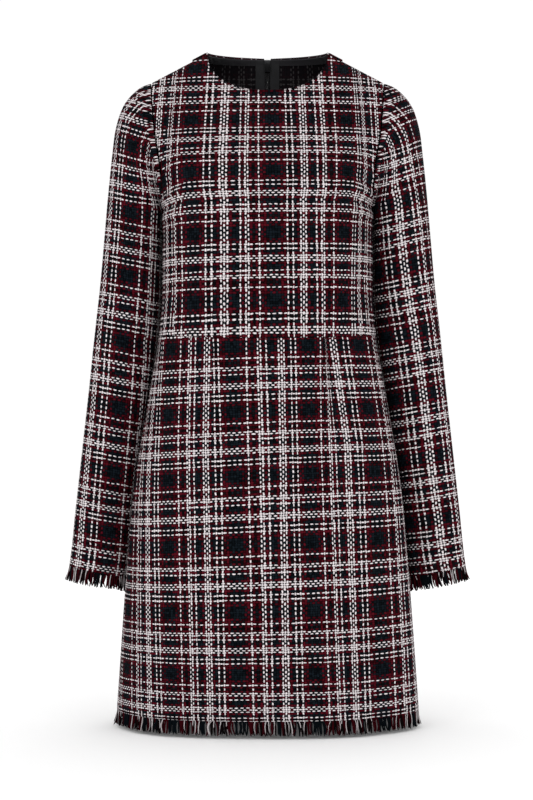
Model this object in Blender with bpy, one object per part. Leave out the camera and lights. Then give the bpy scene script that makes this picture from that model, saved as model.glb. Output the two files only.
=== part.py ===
"""A long-sleeved tweed shift dress, filled out as if worn, with nobody in it.

The front faces -Y and the wearer's left is +X. The origin is on the centre line, level with
the neck points of the shoulder seams. Sizes are in metres and angles in degrees.

The body's outer face is one surface, skin(), read at an angle round the body and at a level:
-1 is the hem, 0 the waist seam, 1 the underarm, and 2 the neckline or the shoulder seam.
Each panel is a grid of points on it, given the cloth's thickness along the surface's normal
and drawn back at its seams, so that two panels that are sewn together never touch.
"""

from collections import namedtuple
from math import cos, pi, sin

import bpy
import numpy as np
from mathutils import Matrix

CLOTH = 0.002  # the tweed with its fused backing
SEAM_GAP = 0.0003
ARMHOLE_GAP = 0.0012  # the sleeve's own share, where two curved edges meet at a fold
LAID_GAP = 0.0005  # between a panel and the tape or coil that lies on its flat faces
TAPE = 0.0008  # zip tape and neck tape

NECK_HALF = 0.0797  # centre line to neck point
NECK_DROP = 0.058  # neck point down to the front neck's lowest point
NECK_SQUARENESS = 2.3
SHOULDER_X, SHOULDER_Z = 0.155, -0.040  # where the shoulder seam meets the sleeve
SHOULDER_FALL = SHOULDER_Z / (SHOULDER_X - NECK_HALF)
RIDGE = 0.045  # height over which the chest and back round over into the shoulder seam
UNDERARM_X, UNDERARM_Z = 0.140, -0.205
WAIST_AT_SIDE, WAIST_DIP = -0.378, 0.0065
HEM = -0.875
HEM_FRINGE = 0.0165
ROUNDNESS = 2.25  # exponent of the body's superellipse sections
NECK_TURN = 45.0  # the column that ends at the neck point

# Sections of the body, hem to neck. side is the y of the side seams and of the shoulder seam.
Section = namedtuple("Section", "z half_width front back side")
BODY = (
    Section(-0.900, 0.2020, -0.1345, 0.1325, 0.000),
    Section(-0.848, 0.1985, -0.1335, 0.1310, 0.000),
    Section(-0.736, 0.1910, -0.1315, 0.1260, 0.000),
    Section(-0.653, 0.1845, -0.1300, 0.1230, 0.000),
    Section(-0.593, 0.1790, -0.1290, 0.1200, 0.000),
    Section(-0.551, 0.1735, -0.1280, 0.1165, 0.000),
    Section(-0.504, 0.1655, -0.1255, 0.1100, 0.000),
    Section(-0.437, 0.1540, -0.1215, 0.0970, 0.000),
    Section(-0.382, 0.1450, -0.1190, 0.0890, 0.000),
    Section(-0.330, 0.1405, -0.1300, 0.0965, 0.000),
    Section(-0.270, 0.1398, -0.1350, 0.1060, 0.000),
    Section(-0.220, 0.1399, -0.1305, 0.1110, 0.000),
    Section(-0.180, 0.1440, -0.1200, 0.1120, 0.002),
    Section(-0.142, 0.1545, -0.1035, 0.1100, 0.005),
    Section(-0.100, 0.1680, -0.0770, 0.1040, 0.008),
    Section(-0.058, 0.1840, -0.0470, 0.0930, 0.011),
    Section(-0.020, 0.1980, -0.0215, 0.0770, 0.013),
    Section(0.005, 0.2050, -0.0050, 0.0640, 0.014),
)

# How far out the armhole's edge lies, underarm to shoulder.
Edge = namedtuple("Edge", "z x")
ARMHOLE = (
    Edge(-0.205, 0.1400),
    Edge(-0.189, 0.1390),
    Edge(-0.157, 0.1410),
    Edge(-0.119, 0.1475),
    Edge(-0.087, 0.1510),
    Edge(-0.040, 0.1550),
)

# Soft folds of the skirt: where they stand, how wide they are, and how far out at the hem.
Fold = namedtuple("Fold", "angle width out")
SKIRT_FOLDS = (
    Fold(-158, 13, 0.0030),
    Fold(-131, 12, -0.0025),
    Fold(-104, 12, 0.0020),
    Fold(-66, 13, -0.0022),
    Fold(-38, 12, 0.0024),
    Fold(-9, 14, -0.0012),
    Fold(24, 12, 0.0018),
    Fold(52, 12, -0.0024),
    Fold(78, 11, 0.0018),
    Fold(112, 13, -0.0026),
    Fold(143, 13, 0.0030),
)

# Rings of the left sleeve. Each has its outer and inner end, its depth to the front and to
# the back of its middle, and that middle's y. station 0 is the armhole and 1 the cuff.
Ring = namedtuple("Ring", "station outer_x outer_z inner_x inner_z front back middle")
SLEEVE = (
    Ring(0.000, 0.1550, -0.0400, 0.1400, -0.2050, 0.050, 0.055, 0.006),
    Ring(0.030, 0.1690, -0.0455, 0.1435, -0.2085, 0.054, 0.059, 0.010),
    Ring(0.070, 0.1850, -0.0590, 0.1400, -0.2130, 0.057, 0.062, 0.014),
    Ring(0.120, 0.1965, -0.0780, 0.1360, -0.2190, 0.059, 0.063, 0.018),
    Ring(0.170, 0.2035, -0.1000, 0.1340, -0.2270, 0.059, 0.063, 0.021),
    Ring(0.240, 0.2085, -0.1350, 0.1340, -0.2430, 0.058, 0.062, 0.024),
    Ring(0.330, 0.2145, -0.1900, 0.1350, -0.2680, 0.056, 0.060, 0.028),
    Ring(0.420, 0.2195, -0.2450, 0.1360, -0.3000, 0.054, 0.058, 0.031),
    Ring(0.520, 0.2255, -0.3100, 0.1380, -0.3450, 0.051, 0.055, 0.034),
    Ring(0.620, 0.2335, -0.3800, 0.1425, -0.4020, 0.048, 0.051, 0.036),
    Ring(0.720, 0.2410, -0.4500, 0.1520, -0.4660, 0.044, 0.046, 0.038),
    Ring(0.820, 0.2500, -0.5300, 0.1655, -0.5440, 0.040, 0.041, 0.039),
    Ring(0.910, 0.2590, -0.6100, 0.1770, -0.6240, 0.036, 0.036, 0.040),
    Ring(1.000, 0.2680, -0.6880, 0.1860, -0.7025, 0.034, 0.034, 0.040),
    Ring(1.025, 0.2720, -0.7070, 0.1890, -0.7200, 0.035, 0.035, 0.040),
)
SLEEVE_CLEAR = 0.003  # between the sleeve and the body it hangs beside
CAP_FADE = 0.15  # the station by which a ring has lost the armhole's shape

ZIP_HALF = 0.0163  # centre line to a tape's outer edge
ZIP_FOOT_ROW = 6  # the skirt row where the zip ends
COIL_HALF, COIL_DEPTH = 0.0033, 0.0022
NOTCH_HALF, NOTCH_DEPTH = 0.0022, 0.024  # where the back neck's corners part over the slider
NECK_TAPE_HEIGHT = 0.008

SLIDER_TOP_HALF, SLIDER_FOOT_HALF = 0.0055, 0.0040
SLIDER_LENGTH, SLIDER_DEPTH = 0.0140, 0.0030
SLIDER_FROM_RIM = 0.0015
SLIDER_GAP = 0.0008  # to the tapes, which curve while the slider is straight
EYE_FROM_RIM = 0.0070  # the eye is the ring on the slider that holds the pull tab
EYE_RISE = 0.0019  # from the cloth's face to the eye's centre
EYE_HOLE, EYE_RADIUS, EYE_HALF_WIDTH = 0.00125, 0.0022, 0.0008
PULL_BAR = 0.0006  # radius of the tab's bar, which turns in the eye
PULL_LENGTH, PULL_HALF, PULL_THICKNESS = 0.025, 0.0034, 0.0011
PULL_WINDOW_HALF, PULL_WINDOW_END = 0.0014, 0.0030

COLUMN = 9  # degrees between two columns of points; a whole number of them reach the neck point
SKIRT_ROWS, SIDE_ROWS, CHEST_ROWS = 9, 5, 9
NUDGE_ANGLE, NUDGE_LEVEL = 0.02, 0.0005  # steps for reading a surface's normal


def clear_scene():
    for thing in list(bpy.data.objects):
        bpy.data.objects.remove(thing, do_unlink=True)


def material(name, colour, roughness, metallic=0.0):
    made = bpy.data.materials.new(name)
    made.use_nodes = True
    shader = made.node_tree.nodes["Principled BSDF"]
    shader.inputs["Base Color"].default_value = (*colour, 1)
    shader.inputs["Roughness"].default_value = roughness
    shader.inputs["Metallic"].default_value = metallic
    return made


# Curves and surfaces


def smooth(table, column, at):
    """The column's value on a smooth curve through its rows, read against the first column."""
    places = np.array([row[0] for row in table])
    values = np.array([getattr(row, column) for row in table])
    slopes = np.gradient(values, places)
    i = np.clip(np.searchsorted(places, at) - 1, 0, len(places) - 2)
    step = places[i + 1] - places[i]
    t = (at - places[i]) / step
    start = (1 + 2 * t) * (1 - t) ** 2 * values[i] + t * (1 - t) ** 2 * step * slopes[i]
    end = t**2 * (3 - 2 * t) * values[i + 1] - t**2 * (1 - t) * step * slopes[i + 1]
    return start + end


def mix(a, b, share):
    return a + (b - a) * share


def unit(vectors):
    return vectors / np.linalg.norm(vectors, axis=-1, keepdims=True)


def top_edge(turn, face):
    """x and z where a column ends: on the neckline, then along the shoulder seam."""
    round_neck = np.radians(90 * np.minimum(turn / NECK_TURN, 1))
    power = np.where(face < 0, 2 / NECK_SQUARENESS, 1)
    neck_x = NECK_HALF * np.sin(round_neck) ** power
    drop = np.where(face < 0, NECK_DROP, 0)
    neck_z = -drop * np.abs(np.cos(round_neck)) ** power
    shoulder_x = mix(NECK_HALF, SHOULDER_X, (turn - NECK_TURN) / (90 - NECK_TURN))
    on_neck = turn <= NECK_TURN
    x = np.where(on_neck, neck_x, shoulder_x)
    return x, np.where(on_neck, neck_z, SHOULDER_FALL * (shoulder_x - NECK_HALF))


def skirt_fold(angle, level):
    out = sum(f.out * np.exp(-(((angle - f.angle) / f.width) ** 2)) for f in SKIRT_FOLDS)
    return out * np.clip(-level, 0, 1.1) ** 1.5


def depth_at(x, z, face):
    """y of the body's face at x and z: a superellipse, rounded over at the shoulder seam."""
    side = smooth(BODY, "side", z)
    centre = np.where(face < 0, smooth(BODY, "front", z), smooth(BODY, "back", z))
    across = np.clip(x / smooth(BODY, "half_width", z), 0, 1)
    below_seam = SHOULDER_FALL * (x - NECK_HALF) - z
    rounding = np.clip(1 - below_seam / RIDGE, 0, 1)
    full = (1 - across**ROUNDNESS) ** (1 / ROUNDNESS)
    return side + (centre - side) * full * np.sqrt(1 - rounding**2)


def skin(angle, level, face):
    """A point on the body's outer face. face is -1 for a front panel and 1 for a back one."""
    angle, level = np.broadcast_arrays(np.asarray(angle, float), np.asarray(level, float))
    turn = np.abs(angle) if face < 0 else 180 - np.abs(angle)
    hand = np.where(angle < 0, -1.0, 1.0) * np.where(turn < 0, -1.0, 1.0)
    turn = np.abs(turn)
    face = np.full(turn.shape, float(face))
    past_side = turn > 90
    face = np.where(past_side & (level <= 1), -face, face)
    turn = np.where(past_side, np.where(level <= 1, 180 - turn, 90), turn)
    past_seam = (level > 2) & (turn >= NECK_TURN)
    face = np.where(past_seam, -face, face)
    level = np.where(past_seam, 4 - level, np.minimum(level, 2))

    across = np.sin(np.radians(turn)) ** (2 / ROUNDNESS)
    waist = WAIST_AT_SIDE - WAIST_DIP * np.cos(np.radians(turn)) ** 2
    low_z = np.where(level < 0, mix(waist, HEM, -level), mix(waist, UNDERARM_Z, level))
    low_x = smooth(BODY, "half_width", low_z) * across

    climb = (1 - np.cos(pi * (np.clip(level, 1, 2) - 1))) / 2
    top_x, top_z = top_edge(turn, face)
    high_z = mix(UNDERARM_Z, top_z, climb)
    edge_x = smooth(ARMHOLE, "x", mix(UNDERARM_Z, SHOULDER_Z, climb))
    bend = (turn / 90) ** 4 * (edge_x - mix(UNDERARM_X, SHOULDER_X, climb))
    high_x = mix(UNDERARM_X * across, top_x, climb) + bend

    x, z = np.where(level > 1, high_x, low_x), np.where(level > 1, high_z, low_z)
    point = np.stack([hand * x, depth_at(x, z, face), z], axis=-1)
    flat = point * (1, 1, 0)
    outward = flat / np.maximum(np.linalg.norm(flat, axis=-1, keepdims=True), 1e-9)
    return point + outward * skirt_fold(angle, level)[..., None]


def skin_normal(angle, level, face):
    round_body = skin(angle + NUDGE_ANGLE, level, face) - skin(angle - NUDGE_ANGLE, level, face)
    up_body = skin(angle, level + NUDGE_LEVEL, face) - skin(angle, level - NUDGE_LEVEL, face)
    return unit(np.cross(round_body, up_body))


def sleeve_skin(turn, station):
    """A point on the left sleeve. turn 0 is its outer side, 90 its front and 180 its inner."""
    turn, station = np.broadcast_arrays(np.asarray(turn, float) % 360, np.asarray(station, float))

    def ring(at):
        outer_x, outer_z = smooth(SLEEVE, "outer_x", at), smooth(SLEEVE, "outer_z", at)
        inner_x, inner_z = smooth(SLEEVE, "inner_x", at), smooth(SLEEVE, "inner_z", at)
        lean = (1 + np.cos(np.radians(turn))) / 2
        depth = np.where(turn < 180, smooth(SLEEVE, "front", at), smooth(SLEEVE, "back", at))
        y = smooth(SLEEVE, "middle", at) - depth * np.sin(np.radians(turn))
        return np.stack([mix(inner_x, outer_x, lean), y, mix(inner_z, outer_z, lean)], axis=-1)

    front_edge = skin(90, 2 - turn / 180, -1)
    back_edge = skin(90, turn / 180, 1)
    armhole = np.where((turn <= 180)[..., None], front_edge, back_edge)
    fade = np.clip(1 - station / CAP_FADE, 0, 1) ** 2
    point = ring(station) + (armhole - ring(np.zeros(station.shape))) * fade[..., None]

    x, y, z = np.moveaxis(point, -1, 0)
    below = np.clip((UNDERARM_Z - z) / 0.02, 0, 1)
    clear = SLEEVE_CLEAR * below
    side, width = smooth(BODY, "side", z), smooth(BODY, "half_width", z)
    reach = np.where(y < side, side - smooth(BODY, "front", z), smooth(BODY, "back", z) - side)
    across = np.clip(np.abs(y - side) / reach, 0, 1)
    wall = width * (1 - across**ROUNDNESS) ** (1 / ROUNDNESS) + clear
    pushed = (x + wall + np.sqrt((x - wall) ** 2 + clear**2)) / 2
    return np.stack([np.where(below > 0, pushed, x), y, z], axis=-1)


def sleeve_normal(turn, station):
    ahead, behind = station + NUDGE_LEVEL, np.maximum(station - NUDGE_LEVEL, 0)
    along = sleeve_skin(turn, ahead) - sleeve_skin(turn, behind)
    round_arm = sleeve_skin(turn + NUDGE_ANGLE, station) - sleeve_skin(turn - NUDGE_ANGLE, station)
    return unit(np.cross(round_arm, along))


# Cloth


def cloth(name, outer, inner, finish, closed=False):
    """A wall between two grids of points. A closed one runs round a sleeve."""
    rows, columns = outer.shape[:2]
    points = np.concatenate([outer.reshape(-1, 3), inner.reshape(-1, 3)])

    def corner(layer, row, column):
        return layer * rows * columns + row * columns + column % columns

    faces = []
    spans = columns if closed else columns - 1
    for row in range(rows - 1):
        for column in range(spans):
            square = (row, column), (row, column + 1), (row + 1, column + 1), (row + 1, column)
            faces.append([corner(0, *place) for place in square])
            faces.append([corner(1, *square[turn]) for turn in (0, 3, 2, 1)])
    rims = [((0, c + 1), (0, c)) for c in range(spans)]
    rims += [((rows - 1, c), (rows - 1, c + 1)) for c in range(spans)]
    if not closed:
        rims += [((r, 0), (r + 1, 0)) for r in range(rows - 1)]
        rims += [((r + 1, columns - 1), (r, columns - 1)) for r in range(rows - 1)]
    for a, b in rims:
        faces.append([corner(0, *a), corner(0, *b), corner(1, *b), corner(1, *a)])
    return solid(name, points, faces, finish)


def solid(name, points, faces, finish):
    mesh = bpy.data.meshes.new(name)
    mesh.from_pydata([tuple(p) for p in points], [], faces)
    mesh.update()
    mesh.shade_smooth()
    mesh.set_sharp_from_angle(angle=0.7)
    made = bpy.data.objects.new(name, mesh)
    bpy.context.collection.objects.link(made)
    made.data.materials.append(finish)
    return made


def mirrored(points):
    return points[:, ::-1] * np.array([-1, 1, 1])


def draw_back(points, normals, run, hand):
    """Moves one edge of a grid into its panel by half a seam gap, square to that edge."""
    along = np.gradient(points[run], axis=0)
    points[run] += unit(np.cross(normals[run], along)) * hand * SEAM_GAP / 2


def skin_grid(angles, levels, face):
    angle, level = np.meshgrid(angles, levels)
    return skin(angle, level, face), skin_normal(angle, level, face)


def panel(name, angles, levels, face, finish, notched=None):
    """One panel of the body. notched is the column beside the zip, where the corner parts."""
    points, normals = skin_grid(angles, levels, face)
    underarm = int(np.argmin(np.abs(levels - 1)))
    runs = [((0, slice(None)), 1), ((-1, slice(None)), -1)]
    for column, hand in ((0, -1), (-1, 1)):
        if levels[-1] > 1 and abs(angles[column]) == 90:
            runs.append(((slice(0, underarm + 1), column), hand))
            runs.append(((slice(underarm, None), column), hand))
        else:
            runs.append(((slice(None), column), hand))
    for run, hand in runs:
        draw_back(points, normals, run, hand)
    if notched is not None:
        below_rim = np.linalg.norm(points[:, notched] - points[-1, notched], axis=-1)
        away = np.sign(angles[notched]) * NOTCH_HALF
        points[:, notched, 0] += away * np.clip(1 - below_rim / NOTCH_DEPTH, 0, 1)
    return cloth(name, points, points - normals * CLOTH, finish)


def sleeve(name, turns, stations, hand, finish):
    turn, station = np.meshgrid(turns, stations)
    points, normals = sleeve_skin(turn, station), sleeve_normal(turn, station)
    down_arm = unit(sleeve_skin(turn, station + NUDGE_LEVEL) - sleeve_skin(turn, station))
    points[0] += down_arm[0] * (ARMHOLE_GAP if stations[0] == 0 else SEAM_GAP / 2)
    points[-1] -= down_arm[-1] * SEAM_GAP / 2
    inner = points - normals * CLOTH
    if hand < 0:
        points, inner = mirrored(points), mirrored(inner)
    return cloth(name, points, inner, finish, closed=True)


# What lies on the inside of the back. It is worked out for the left half and mirrored.


def back_grid(hand):
    """The back from the zip's foot to the rim, without seams. Its last column is the zip's."""
    levels = np.concatenate([SKIRT_LEVELS[ZIP_FOOT_ROW:-1], BODICE_LEVELS])
    return [field * np.array([hand, 1, 1]) for field in skin_grid(BACK_LEFT * hand, levels, 1)]


def on_panel(grid, rows, columns):
    """Points and normals on the panel's own flat faces, at fractions of its rows and columns.

    columns has a line for each row.
    """
    rows = np.broadcast_to(np.array(rows, float)[:, None], np.shape(columns))
    low = np.minimum(rows.astype(int), grid[0].shape[0] - 2)
    left = np.minimum(np.array(columns).astype(int), grid[0].shape[1] - 2)
    up, across = (rows - low)[..., None], (columns - left)[..., None]
    return [
        mix(
            mix(field[low, left], field[low, left + 1], across),
            mix(field[low + 1, left], field[low + 1, left + 1], across),
            up,
        )
        for field in grid
    ]


def columns_at(grid, rows, offsets):
    """The columns, as fractions, that lie these ways from the zip, a line for each row."""
    beside = np.interp(rows, range(len(grid[0])), grid[0][:, -2, 0])
    return COLUMNS - np.array(offsets)[None, :] / beside[:, None]


def against_inside(points, normals, thickness):
    outer = points - normals * (CLOTH + LAID_GAP)
    return outer, outer - normals * thickness


def row_below_rim(grid, drop):
    """The row, as a fraction, that lies the given way below the rim beside the zip."""
    run = grid[0][::-1, -1]
    lengths = np.concatenate([[0], np.cumsum(np.linalg.norm(np.diff(run, axis=0), axis=-1))])
    return len(run) - 1 - np.interp(drop, lengths, np.arange(len(run)))


def tapes(zip_finish, neck_finish):
    for side, hand in (("left", 1), ("right", -1)):
        grid = back_grid(hand)
        top = len(grid[0]) - 1
        zip_rows = np.arange(top + 1)
        zip_columns = columns_at(grid, zip_rows, (ZIP_HALF, COIL_HALF + SEAM_GAP))
        neck_rows = row_below_rim(grid, NECK_TAPE_HEIGHT), top - 1, top
        beside_zip = columns_at(grid, [top], [ZIP_HALF + SEAM_GAP])[0, 0]
        neck_columns = [*range(COLUMNS_TO_NECK, COLUMNS), beside_zip]
        for kind, rows, columns, finish in (
            ("zip", zip_rows, zip_columns, zip_finish),
            ("neck", neck_rows, [neck_columns] * len(neck_rows), neck_finish),
        ):
            faces = against_inside(*on_panel(grid, rows, columns), TAPE)
            if hand < 0:
                faces = [mirrored(face) for face in faces]
            cloth(f"{kind}_tape_{side}", *faces, finish)


def coil(finish):
    grid = back_grid(1)
    top = row_below_rim(grid, SLIDER_FROM_RIM + SLIDER_LENGTH + SEAM_GAP)
    rows = np.array([*range(int(top) + 1), top])
    left = on_panel(grid, rows, columns_at(grid, rows, (COIL_HALF, 0)))
    across = np.array([-1, 1, 1])
    whole = [np.concatenate([half, half[:, :1] * across], axis=1) for half in left]
    cloth("zip_coil", *against_inside(*whole, COIL_DEPTH), finish)


# The slider and its pull tab, in a frame of their own: x across, y down the cloth and z out
# of it, from the rim's point on the centre line.


def slider_frame():
    grid = back_grid(1)
    rim = grid[0][-1, -1]
    foot_row = row_below_rim(grid, SLIDER_FROM_RIM + SLIDER_LENGTH)
    foot = on_panel(grid, [foot_row], [[COLUMNS]])[0][0, 0]
    across, down = np.array([1.0, 0, 0]), unit(foot - rim)
    frame = Matrix.Identity(4)
    for column, axis in enumerate((across, down, np.cross(across, down), rim)):
        for row in range(3):
            frame[row][column] = axis[row]
    return frame


def block(name, x_half, y, z, frame, finish):
    """A box in the slider's frame. x_half is its half width at the top and at the foot."""
    corners = [
        (side * half, y_end, z_end)
        for z_end in z
        for half, y_end in zip(x_half, y)
        for side in (-1, 1)
    ]
    faces = ((0, 2, 3, 1), (4, 5, 7, 6), (0, 1, 5, 4), (1, 3, 7, 5), (3, 2, 6, 7), (2, 0, 4, 6))
    made = solid(name, corners, faces, finish)
    made.matrix_world = frame
    return made


def round_bar(name, radius, half_width, frame, finish):
    """A cylinder across the slider, on the eye's centre."""
    bpy.ops.mesh.primitive_cylinder_add(vertices=20, radius=radius, depth=2 * half_width)
    made = bpy.context.object
    made.name = name
    turn = Matrix.Rotation(pi / 2, 4, "Y")
    made.matrix_world = frame @ Matrix.Translation((0, EYE_FROM_RIM, EYE_RISE)) @ turn
    made.data.materials.append(finish)
    return made


def combine(target, other, operation):
    """Joins another body to the target, or cuts it away, and keeps the other as a guide."""
    step = target.modifiers.new(other.name, "BOOLEAN")
    step.operation, step.object = operation, other
    other.hide_render, other.display_type = True, "WIRE"
    other.hide_set(True)


def slider(frame, finish):
    face = -(CLOTH + LAID_GAP + TAPE + SLIDER_GAP)
    ends = SLIDER_FROM_RIM, SLIDER_FROM_RIM + SLIDER_LENGTH
    widths = SLIDER_TOP_HALF, SLIDER_FOOT_HALF
    body = block("zip_slider", widths, ends, (face - SLIDER_DEPTH, face), frame, finish)
    neck_half = EYE_RADIUS * 0.8
    neck_ends = EYE_FROM_RIM - neck_half, EYE_FROM_RIM + neck_half
    neck_top = EYE_RISE - (EYE_HOLE + EYE_RADIUS) / 2
    neck_widths = EYE_HALF_WIDTH, EYE_HALF_WIDTH
    neck_z = face - SLIDER_DEPTH / 2, neck_top
    neck = block("slider_neck", neck_widths, neck_ends, neck_z, frame, finish)
    ring = round_bar("slider_eye", EYE_RADIUS, EYE_HALF_WIDTH, frame, finish)
    hole = round_bar("slider_eye_hole", EYE_HOLE, 3 * EYE_HALF_WIDTH, frame, finish)
    combine(body, neck, "UNION")
    combine(body, ring, "UNION")
    combine(body, hole, "DIFFERENCE")


def pull(frame, finish):
    """The tab, a long drop. Its origin is on the bar that turns in the slider's eye."""
    half = PULL_THICKNESS / 2
    round_from = PULL_LENGTH - PULL_HALF
    outline = [(-PULL_HALF * 0.7, -half), (PULL_HALF * 0.7, -half)]
    for step in range(9):
        turn = pi * step / 8
        outline.append((PULL_HALF * cos(turn), round_from + PULL_HALF * sin(turn)))
    count = len(outline)
    points = [(x, y, z) for z in (-half, half) for x, y in outline]
    faces = [list(range(count))[::-1], list(range(count, 2 * count))]
    for i in range(count):
        after = (i + 1) % count
        faces.append([i, after, after + count, i + count])
    axis = frame @ Matrix.Translation((0, EYE_FROM_RIM, EYE_RISE))
    tab = solid("zip_pull", points, faces, finish)
    tab.matrix_world = axis
    ends, across = (PULL_BAR, PULL_WINDOW_END), (PULL_WINDOW_HALF, PULL_WINDOW_HALF)
    window = block("pull_window", across, ends, (-PULL_THICKNESS, PULL_THICKNESS), axis, finish)
    combine(tab, window, "DIFFERENCE")


COLUMNS = 90 // COLUMN
COLUMNS_TO_NECK = int(COLUMNS * (1 - NECK_TURN / 90))
FRONT = np.linspace(-90, 90, 2 * COLUMNS + 1)
BACK_LEFT = np.linspace(90, 180, COLUMNS + 1)
BACK_RIGHT = -BACK_LEFT[::-1]
SKIRT_LEVELS = np.linspace(-1, 0, SKIRT_ROWS + 1)
SIDE_LEVELS = np.linspace(0, 1, SIDE_ROWS + 1)
BODICE_LEVELS = np.concatenate([SIDE_LEVELS, np.linspace(1, 2, CHEST_ROWS + 1)[1:]])
FRINGE_LEVELS = np.array([-1 - HEM_FRINGE / (WAIST_AT_SIDE - HEM), -1])
ARM_TURNS = np.arange(2 * CHEST_ROWS) * 180 / CHEST_ROWS
STATIONS = np.array([row.station for row in SLEEVE])


def build():
    clear_scene()
    tweed = material("tweed", (0.12, 0.05, 0.06), 0.95)
    yarn = material("frayed yarn", (0.16, 0.08, 0.09), 0.95)
    tape = material("neck tape", (0.045, 0.045, 0.05), 0.85)
    zip_cloth = material("zip tape", (0.012, 0.012, 0.014), 0.8)
    enamel = material("black enamel", (0.015, 0.015, 0.016), 0.3, 0.6)

    panel("front_bodice", FRONT, BODICE_LEVELS, -1, tweed)
    panel("back_bodice_left", BACK_LEFT, BODICE_LEVELS, 1, tweed, notched=-1)
    panel("back_bodice_right", BACK_RIGHT, BODICE_LEVELS, 1, tweed, notched=0)
    panel("front_skirt", FRONT, SKIRT_LEVELS, -1, tweed)
    panel("back_skirt_left", BACK_LEFT, SKIRT_LEVELS, 1, tweed)
    panel("back_skirt_right", BACK_RIGHT, SKIRT_LEVELS, 1, tweed)
    panel("hem_fringe_front", FRONT, FRINGE_LEVELS, -1, yarn)
    panel("hem_fringe_back_left", BACK_LEFT, FRINGE_LEVELS, 1, yarn)
    panel("hem_fringe_back_right", BACK_RIGHT, FRINGE_LEVELS, 1, yarn)
    for side, hand in (("left", 1), ("right", -1)):
        sleeve(f"sleeve_{side}", ARM_TURNS, STATIONS[:-1], hand, tweed)
        sleeve(f"cuff_fringe_{side}", ARM_TURNS, STATIONS[-2:], hand, yarn)
    tapes(zip_cloth, tape)
    coil(zip_cloth)
    frame = slider_frame()
    slider(frame, enamel)
    pull(frame, enamel)


build()
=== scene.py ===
from math import cos, pi, radians, sin
import bpy
import numpy as np
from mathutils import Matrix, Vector


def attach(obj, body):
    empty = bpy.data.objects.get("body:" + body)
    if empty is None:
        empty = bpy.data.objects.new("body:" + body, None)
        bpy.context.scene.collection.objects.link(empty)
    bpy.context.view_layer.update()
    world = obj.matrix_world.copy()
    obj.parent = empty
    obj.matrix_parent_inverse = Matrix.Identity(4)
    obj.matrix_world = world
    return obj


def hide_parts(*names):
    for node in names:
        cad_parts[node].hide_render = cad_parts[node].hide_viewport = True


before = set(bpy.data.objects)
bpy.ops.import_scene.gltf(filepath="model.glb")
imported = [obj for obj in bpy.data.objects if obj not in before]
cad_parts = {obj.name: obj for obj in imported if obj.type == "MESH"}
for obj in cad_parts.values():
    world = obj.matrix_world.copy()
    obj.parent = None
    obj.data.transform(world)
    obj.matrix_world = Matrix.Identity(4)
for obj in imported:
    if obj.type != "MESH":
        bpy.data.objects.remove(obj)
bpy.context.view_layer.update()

bpy.ops.object.select_all(action="DESELECT")


# The tweed. It is a plain weave of thick soft yarns in black, navy, burgundy and white, and one
# repeat of 28 threads runs both ways. White yarns are spun thicker than dark ones. Its wrong side
# is coloured nearly black, so little more than specks of the yarns show there.

YARN_WHITE = (0.84, 0.775, 0.79)
YARN_BURGUNDY = (0.053, 0.0029, 0.0064)
YARN_NAVY = (0.0042, 0.0068, 0.0095)
YARN_BLACK = (0.0062, 0.0029, 0.0034)
REPEAT = 28
# first thread of each stripe, and its yarn
SETT = (
    (0, YARN_WHITE), (1, YARN_BURGUNDY), (3, YARN_NAVY), (8, YARN_BURGUNDY), (10, YARN_WHITE),
    (11, YARN_BLACK), (12, YARN_WHITE), (13, YARN_NAVY), (14, YARN_BURGUNDY), (15, YARN_WHITE),
    (18, YARN_BURGUNDY), (19, YARN_NAVY), (21, YARN_WHITE), (22, YARN_BURGUNDY), (23, YARN_WHITE),
    (25, YARN_BURGUNDY), (26, YARN_BLACK), (27, YARN_BURGUNDY),
)


def reckon(tree, kind, *terms):
    step = tree.nodes.new("ShaderNodeMath")
    step.operation = kind
    for socket, term in zip(step.inputs, terms):
        if isinstance(term, (int, float)):
            socket.default_value = term
        else:
            tree.links.new(term, socket)
    return step.outputs[0]


def blend_colours(tree, share, first, second, kind="MIX"):
    step = tree.nodes.new("ShaderNodeMix")
    step.data_type, step.blend_type = "RGBA", kind
    for socket, term in zip((step.inputs[0], step.inputs[6], step.inputs[7]), (share, first, second)):
        if isinstance(term, (int, float)):
            socket.default_value = term
        elif isinstance(term, tuple):
            socket.default_value = (*term, 1)
        else:
            tree.links.new(term, socket)
    return step.outputs[2]


def stripe_colour(tree, thread):
    """The yarn of a thread number, from the sett."""
    place = reckon(tree, "FLOORED_MODULO", thread, REPEAT)
    place = reckon(tree, "DIVIDE", reckon(tree, "ADD", place, 0.5), REPEAT)
    stripes = tree.nodes.new("ShaderNodeValToRGB")
    ramp = stripes.color_ramp
    ramp.interpolation = "CONSTANT"
    ramp.elements.remove(ramp.elements[1])
    ramp.elements[0].position = 0
    ramp.elements[0].color = (*SETT[0][1], 1)
    for first, yarn in SETT[1:]:
        ramp.elements.new(first / REPEAT).color = (*yarn, 1)
    tree.links.new(place, stripes.inputs[0])
    return stripes.outputs[0]


def speckle(tree, vector, kind="ShaderNodeTexWhiteNoise", scale=1.0):
    step = tree.nodes.new(kind)
    if kind == "ShaderNodeTexNoise":
        step.inputs["Scale"].default_value = scale
        step.inputs["Detail"].default_value = 2
    else:
        step.noise_dimensions = "3D"
    tree.links.new(vector, step.inputs["Vector"])
    return step.outputs["Fac" if kind == "ShaderNodeTexNoise" else "Value"]


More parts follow.
